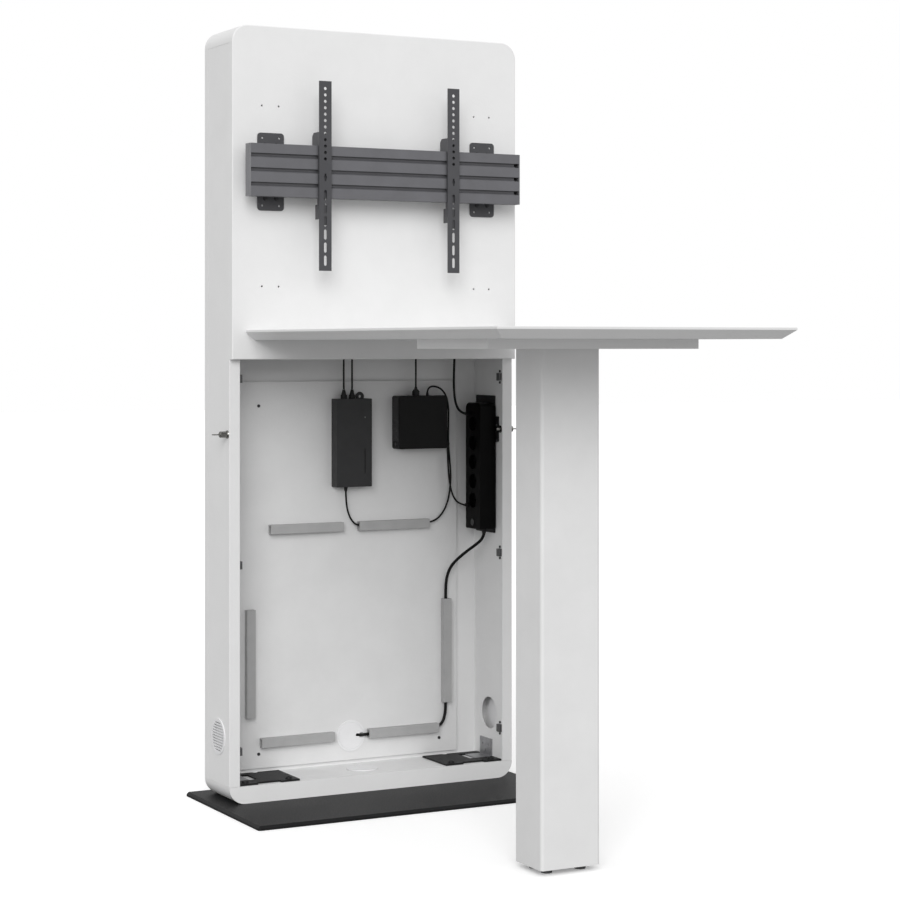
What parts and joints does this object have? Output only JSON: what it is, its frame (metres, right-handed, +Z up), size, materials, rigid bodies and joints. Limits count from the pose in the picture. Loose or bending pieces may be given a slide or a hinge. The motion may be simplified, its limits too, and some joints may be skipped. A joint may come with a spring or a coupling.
{
  "type": "display cabinet with standing table",
  "caption": "Free-standing slim display cabinet with a television rail above, an open equipment bay below and a standing-height table docked to its front.",
  "frame": {"origin": "on the floor, on the cabinet's centre line, in the front plane of the upper panel", "axes": "+X to the right along the front, +Y into the cabinet, +Z up; the table runs out along -Y"},
  "size_m": [0.8245, 1.575, 1.83],
  "materials": {
    "white_coat": "fine textured powder coat",
    "table_coat": "powder coat",
    "white_board": "board with a hard white finish",
    "table_board": "board with a satin white lacquer",
    "white_plastic": "moulded",
    "black_steel": "fine textured powder coat",
    "zinc_steel": "zinc plated",
    "rail_aluminium": "dark grey coated",
    "rail_plastic": "moulded",
    "strip_steel": "dark grey powder coat",
    "lock_metal": "dark nickel",
    "black_plastic": "moulded",
    "supply_plastic": "moulded",
    "duct_plastic": "extruded",
    "lead_jacket": "smooth jacket"
  },
  "bodies": {
    "cabinet": {"base_plate": "black_steel", "bottom_cap": "white_coat", "top_cap": "white_coat", "side_panel_left": "white_coat", "side_panel_right": "white_coat", "rear_panel": "white_board", "front_panel": "white_board", "mounting_board": "white_board", "cabinet_screws": "zinc_steel", "crossbars": "zinc_steel", "foot_plates": "black_steel", "angle_brackets": "zinc_steel", "floor_bolts": "black_steel", "magnetic_catches": "black_plastic", "vent_grilles": "white_plastic", "grommet_rings": "white_plastic", "rear_grommet_cap": "white_plastic", "lock_barrels": "lock_metal", "strike_plates": "black_steel", "rail": "rail_aluminium", "rail_end_caps": "rail_plastic", "rail_brackets": "strip_steel", "rail_bolts": "zinc_steel", "tabletop": "table_board", "table_head_plate": "table_board", "head_plate_screws": "zinc_steel", "table_leg": "table_coat", "table_bolts": "zinc_steel", "duct_bases": "duct_plastic", "duct_covers": "duct_plastic", "psu_case": "supply_plastic", "pc_case": "black_plastic", "power_strip_plate": "black_steel", "power_strip_case": "black_plastic", "lead_plugs": "black_plastic", "coupler_bar": "black_plastic", "lead_supply_a": "lead_jacket", "lead_supply_b": "lead_jacket", "lead_display": "lead_jacket", "lead_strip_upper": "lead_jacket", "lead_link": "lead_jacket", "lead_computer": "lead_jacket", "mains_lead": "lead_jacket", "mains_coil": "lead_jacket", "mains_plug": "black_plastic"},
    "strip_left": {"strip_left": "strip_steel"},
    "strip_right": {"strip_right": "strip_steel"},
    "latch_left": {"strip_latch_left": "rail_plastic"},
    "latch_right": {"strip_latch_right": "rail_plastic"},
    "plunger_left": {"lock_plunger_left": "lock_metal"},
    "plunger_right": {"lock_plunger_right": "lock_metal"},
    "key_left": {"lock_key_left": "lock_metal"},
    "key_right": {"lock_key_right": "lock_metal"},
    "floor_cap": {"floor_grommet_cap": "white_plastic"},
    "pc_button": {"pc_button": "black_plastic"},
    "power_button": {"power_strip_button": "black_plastic"},
    "glide_rear_left": {"leg_glide_rear_left": "black_plastic"},
    "glide_front_left": {"leg_glide_front_left": "black_plastic"},
    "glide_rear_right": {"leg_glide_rear_right": "black_plastic"},
    "glide_front_right": {"leg_glide_front_right": "black_plastic"}
  },
  "joints": [
    {"name": "strip_left_slide", "type": "slide", "parent": "cabinet", "child": "strip_left", "axis": [1, 0, 0], "range_m": [-0.056, 0.125]},
    {"name": "strip_right_slide", "type": "slide", "parent": "cabinet", "child": "strip_right", "axis": [1, 0, 0], "range_m": [-0.125, 0.056]},
    {"name": "latch_left_pull", "type": "slide", "parent": "strip_left", "child": "latch_left", "axis": [0, 0, -1], "range_m": [0, 0.006], "stiffness_N_per_m": 400, "springref_m": -0.004},
    {"name": "latch_right_pull", "type": "slide", "parent": "strip_right", "child": "latch_right", "axis": [0, 0, -1], "range_m": [0, 0.006], "stiffness_N_per_m": 400, "springref_m": -0.004},
    {"name": "plunger_left_push", "type": "slide", "parent": "cabinet", "child": "plunger_left", "axis": [1, 0, 0], "range_m": [0, 0.012], "stiffness_N_per_m": 300, "springref_m": -0.005},
    {"name": "plunger_right_push", "type": "slide", "parent": "cabinet", "child": "plunger_right", "axis": [-1, 0, 0], "range_m": [-0.012, 0]},
    {"name": "key_left_turn", "type": "hinge", "parent": "plunger_left", "child": "key_left", "pos_m": [-0.392, 0.029, 0.874], "axis": [-1, 0, 0], "range_deg": [0, 90]},
    {"name": "key_right_turn", "type": "hinge", "parent": "plunger_right", "child": "key_right", "pos_m": [0.38, 0.029, 0.874], "axis": [1, 0, 0], "range_deg": [0, 90]},
    {"name": "floor_cap_turn", "type": "hinge", "parent": "cabinet", "child": "floor_cap", "pos_m": [0, 0.09, 0.052], "axis": [0, 0, 1], "continuous": true},
    {"name": "pc_button_push", "type": "slide", "parent": "cabinet", "child": "pc_button", "axis": [1, 0, 0], "range_m": [0, 0.0012], "stiffness_N_per_m": 600, "springref_m": -0.001},
    {"name": "power_button_push", "type": "slide", "parent": "cabinet", "child": "power_button", "axis": [1, 0, 0], "range_m": [0, 0.0025], "stiffness_N_per_m": 500, "springref_m": -0.002},
    {"name": "glide_front_left_turn", "type": "hinge", "parent": "cabinet", "child": "glide_front_left", "pos_m": [-0.04, -0.865, 0.003], "axis": [0, 0, 1], "continuous": true},
    {"name": "glide_rear_left_turn", "type": "hinge", "parent": "cabinet", "child": "glide_rear_left", "pos_m": [-0.04, -0.817, 0.003], "axis": [0, 0, 1], "continuous": true},
    {"name": "glide_front_right_turn", "type": "hinge", "parent": "cabinet", "child": "glide_front_right", "pos_m": [0.04, -0.865, 0.003], "axis": [0, 0, 1], "continuous": true},
    {"name": "glide_rear_right_turn", "type": "hinge", "parent": "cabinet", "child": "glide_rear_right", "pos_m": [0.04, -0.817, 0.003], "axis": [0, 0, 1], "continuous": true}
  ]
}
